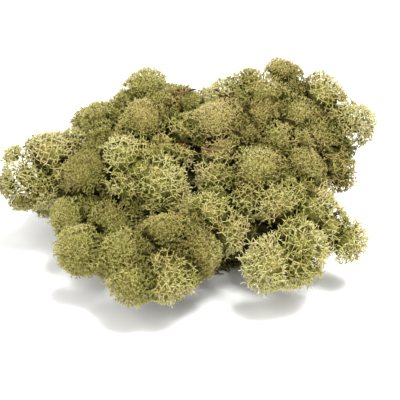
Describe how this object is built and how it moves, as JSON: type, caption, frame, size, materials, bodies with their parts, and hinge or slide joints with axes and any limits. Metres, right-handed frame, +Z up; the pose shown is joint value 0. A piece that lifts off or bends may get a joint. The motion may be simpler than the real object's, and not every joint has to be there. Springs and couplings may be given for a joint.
{
  "type": "reindeer moss clump",
  "caption": "Loose clump of grey-green reindeer moss: rounded tufts of finely forked stems round a tangle of old brown stems, with a twig and fallen needles.",
  "frame": {"origin": "middle of the flat spot under the old stems, on which the clump rests", "axes": "+Z up; +X along the clump's length, to the right as seen from its front; +Y into its depth, away from the front"},
  "size_m": [0.2366, 0.202, 0.1162],
  "materials": {
    "moss": "matte",
    "old_moss": "matte",
    "wood": "matte"
  },
  "bodies": {
    "root": {"left_tip": "moss", "left_brow": "moss", "left_bud": "moss", "left_cheek": "moss", "left_low": "moss", "left_hollow": "moss", "double_head": "moss", "crown_left": "moss", "crown_collar": "moss", "crown_notch": "moss", "brown_brow": "moss", "bright_front": "moss", "middle_net": "moss", "top_middle": "moss", "top_lace": "moss", "top_ridge": "moss", "crown_right": "moss", "right_shoulder": "moss", "right_tip": "moss", "right_brown": "moss", "right_saddle": "moss", "right_arm": "moss", "right_middle": "moss", "right_side": "moss", "belly_right": "moss", "belly_middle": "moss", "belly_low": "moss", "right_fan": "moss", "right_spray": "moss", "front_right": "moss", "hanging": "moss", "front_middle": "moss", "front_lip": "moss", "front_lip_right": "moss", "front_left": "moss", "back_left_end": "moss", "back_left_low": "moss", "back_left_high": "moss", "back_middle_high": "moss", "back_middle_low": "moss", "back_right_high": "moss", "back_right_low": "moss", "back_right_end": "moss", "old_stems": "old_moss", "twig": "wood", "needle_high": "wood", "needle_low": "wood"}
  },
  "joints": []
}
